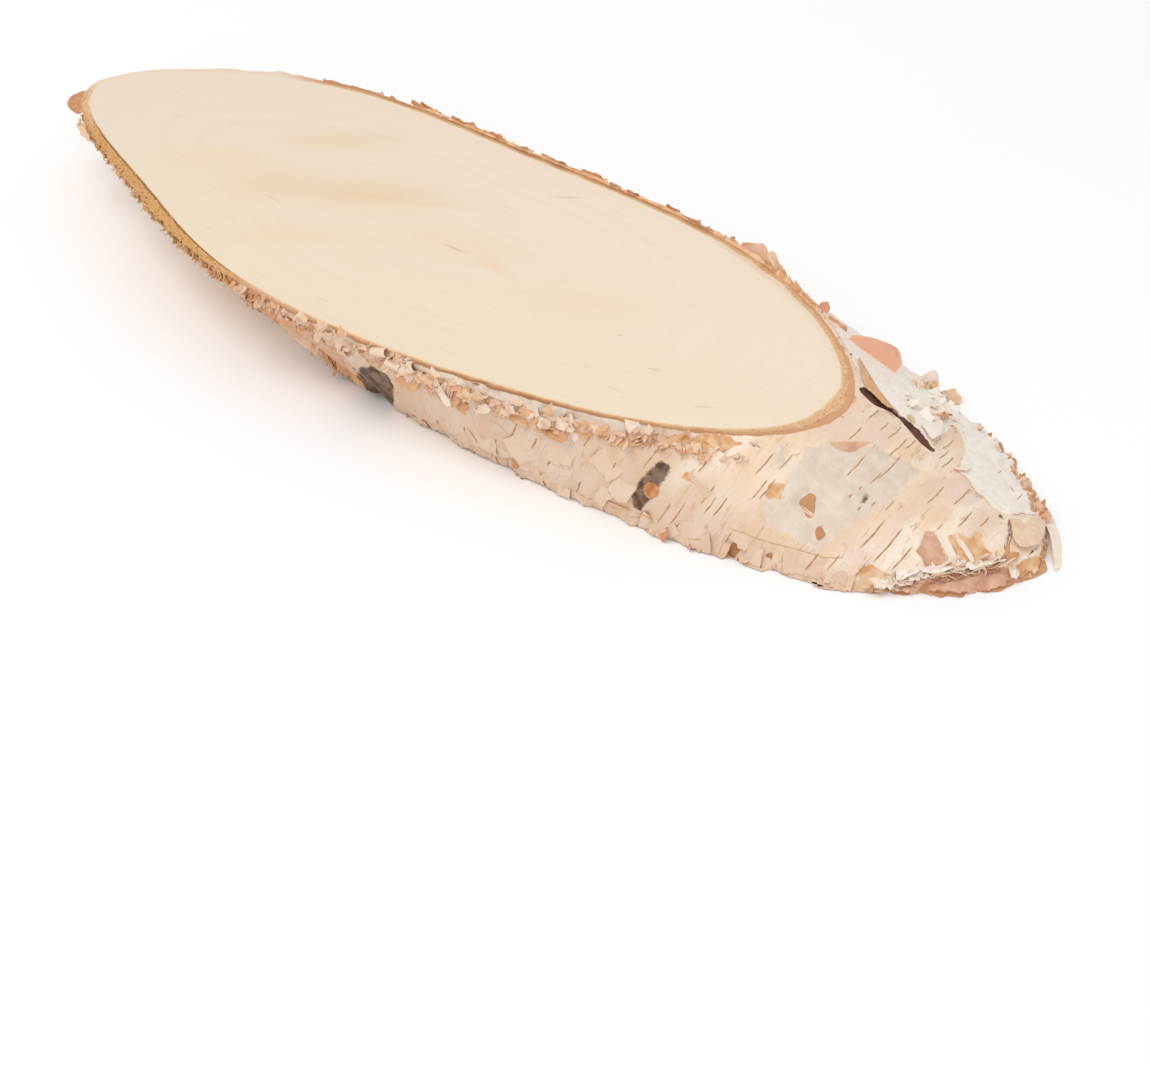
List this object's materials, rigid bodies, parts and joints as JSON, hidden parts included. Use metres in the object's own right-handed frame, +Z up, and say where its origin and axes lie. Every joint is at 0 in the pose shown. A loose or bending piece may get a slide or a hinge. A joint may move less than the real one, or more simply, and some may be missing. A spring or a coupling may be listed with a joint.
{
  "type": "birch wood slice",
  "caption": "Oval slice sawn aslant through a thin birch log: flat pale wood faces, tan bast ring and slanted papery white bark with peeling flaps.",
  "frame": {"origin": "middle of the bounding box, on the surface that the slice lies on", "axes": "+X along the slice's long axis, towards the end where the bark slopes out below the top face; +Y across it; +Z up, square to the two sawn faces"},
  "size_m": [0.2999, 0.1099, 0.0265],
  "materials": {
    "wood": "sawn and lightly sanded, matt",
    "inner_bark": "rough and fibrous",
    "outer_bark": "papery and matt, with brown lenticels"
  },
  "bodies": {
    "root": {"wood": "wood", "inner_bark": "inner_bark", "outer_bark": "outer_bark"}
  },
  "joints": []
}
